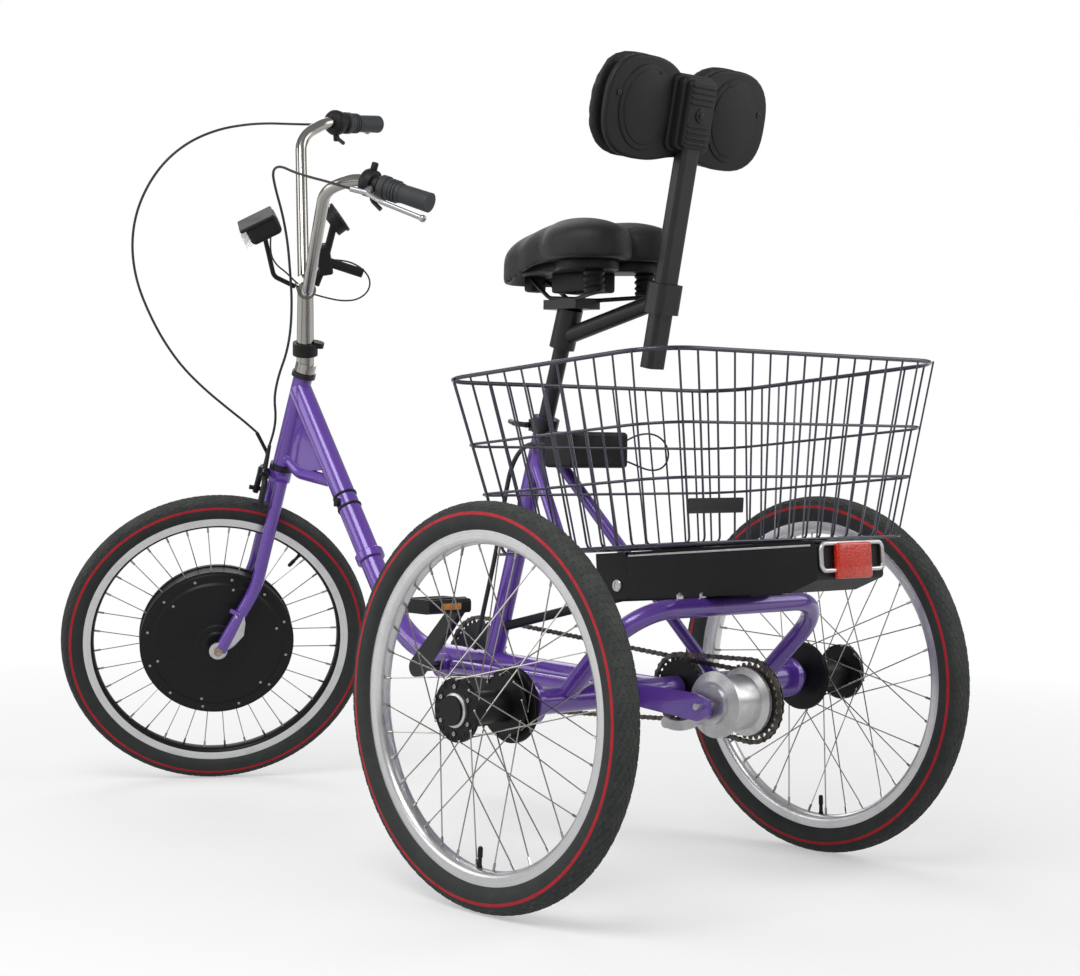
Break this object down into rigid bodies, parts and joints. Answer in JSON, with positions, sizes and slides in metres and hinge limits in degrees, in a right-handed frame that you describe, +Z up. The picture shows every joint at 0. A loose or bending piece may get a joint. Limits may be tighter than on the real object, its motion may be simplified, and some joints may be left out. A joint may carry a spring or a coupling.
{
  "type": "electric tricycle",
  "caption": "Step-through electric tricycle with a front hub motor, high swept bars, wide saddle with backrest, wire basket and rack battery over the rear axle.",
  "frame": {"origin": "on the ground under the middle of the whole tricycle", "axes": "-Y is forward, +X is the rider's left, +Z is up; the front wheel is parked turned left"},
  "size_m": [0.896, 1.7768, 1.3515],
  "materials": {
    "frame_purple": "gloss paint",
    "black_paint": "satin black paint",
    "bright_steel": "polished",
    "alloy": "satin",
    "black_alloy": "satin black",
    "dark_chain": "oiled steel",
    "tyre_rubber": "dark rubber",
    "grip_rubber": "matte rubber",
    "seat_vinyl": "soft vinyl",
    "black_plastic": "matte moulding",
    "lens": "clear",
    "reflector_red": "prismatic red",
    "cable_black": "smooth black sleeve"
  },
  "bodies": {
    "frame": {"main_frame": "frame_purple", "rear_hoop": "frame_purple", "headset": "black_paint", "gear_hub": "alloy", "hub_cogs": "black_paint", "chains": "dark_chain", "seat_post": "black_paint", "seat_collar": "black_alloy", "saddle_clamp": "black_paint", "saddle_base": "black_plastic", "saddle": "seat_vinyl", "backrest_post": "black_paint", "backrest_shell": "black_plastic", "backrest_pad": "seat_vinyl", "battery": "black_plastic", "rack": "black_paint", "tail_reflector": "reflector_red", "wire_basket": "black_paint", "controller": "black_plastic", "frame_cables": "cable_black"},
    "front_end": {"fork": "frame_purple", "stem": "bright_steel", "handlebar": "bright_steel", "grips": "grip_rubber", "brake_levers": "black_plastic", "headlight": "black_plastic", "headlight_lens": "lens", "display": "black_plastic", "front_brake": "black_alloy", "steering_cables": "cable_black"},
    "front_wheel": {"front_tyre": "tyre_rubber", "front_rim": "alloy", "front_spokes": "bright_steel", "front_motor": "black_alloy"},
    "left_wheel": {"left_tyre": "tyre_rubber", "left_rim": "alloy", "left_spokes": "bright_steel", "left_hub": "black_alloy"},
    "right_wheel": {"right_tyre": "tyre_rubber", "right_rim": "alloy", "right_spokes": "bright_steel", "right_hub": "black_alloy"},
    "cranks": {"crankset": "black_paint"},
    "left_pedal": {"left_pedal": "black_plastic"},
    "right_pedal": {"right_pedal": "black_plastic"}
  },
  "joints": [
    {"name": "steering", "type": "hinge", "parent": "frame", "child": "front_end", "pos_m": [0, -0.47548, 0.812], "axis": [0, 0.3633, 0.9317], "range_deg": [-131.3, 8.7]},
    {"name": "front_wheel_spin", "type": "hinge", "parent": "front_end", "child": "front_wheel", "pos_m": [0.04035, -0.70229, 0.29106], "axis": [0.4802, 0.8172, -0.3186], "continuous": true},
    {"name": "left_wheel_spin", "type": "hinge", "parent": "frame", "child": "left_wheel", "pos_m": [0.3775, 0.50652, 0.304], "axis": [1, 0, 0], "continuous": true},
    {"name": "right_wheel_spin", "type": "hinge", "parent": "frame", "child": "right_wheel", "pos_m": [-0.3775, 0.50652, 0.304], "axis": [1, 0, 0], "continuous": true},
    {"name": "crank_spin", "type": "hinge", "parent": "frame", "child": "cranks", "pos_m": [0, -0.01348, 0.298], "axis": [1, 0, 0], "continuous": true},
    {"name": "left_pedal_spin", "type": "hinge", "parent": "cranks", "child": "left_pedal", "pos_m": [0.134, 0.10114, 0.41669], "axis": [1, 0, 0], "continuous": true},
    {"name": "right_pedal_spin", "type": "hinge", "parent": "cranks", "child": "right_pedal", "pos_m": [-0.134, -0.12809, 0.17931], "axis": [1, 0, 0], "continuous": true}
  ]
}
